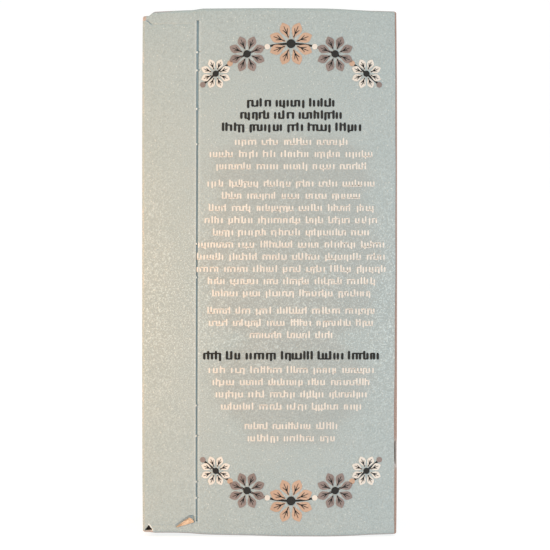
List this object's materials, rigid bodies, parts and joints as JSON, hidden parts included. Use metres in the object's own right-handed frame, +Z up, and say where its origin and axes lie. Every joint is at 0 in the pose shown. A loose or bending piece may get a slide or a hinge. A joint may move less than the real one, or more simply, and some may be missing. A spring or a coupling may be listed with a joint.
{
  "type": "tea box",
  "caption": "Shut upright folding carton for tea bags, of pale blue printed board, with slightly bowed ends and a perforated lid strip along its narrow front panel.",
  "frame": {"origin": "middle of the carton's footprint, on the surface that it stands on", "axes": "+Z up along the carton's long folds, -Y out of the narrow front panel with the lid strip, +X to the right across that panel"},
  "size_m": [0.068, 0.076, 0.141],
  "materials": {
    "printed_board": "uncoated folding boxboard, printed pale grey blue, with worn kraft folds"
  },
  "bodies": {
    "root": {"carton": "printed_board"}
  },
  "joints": []
}
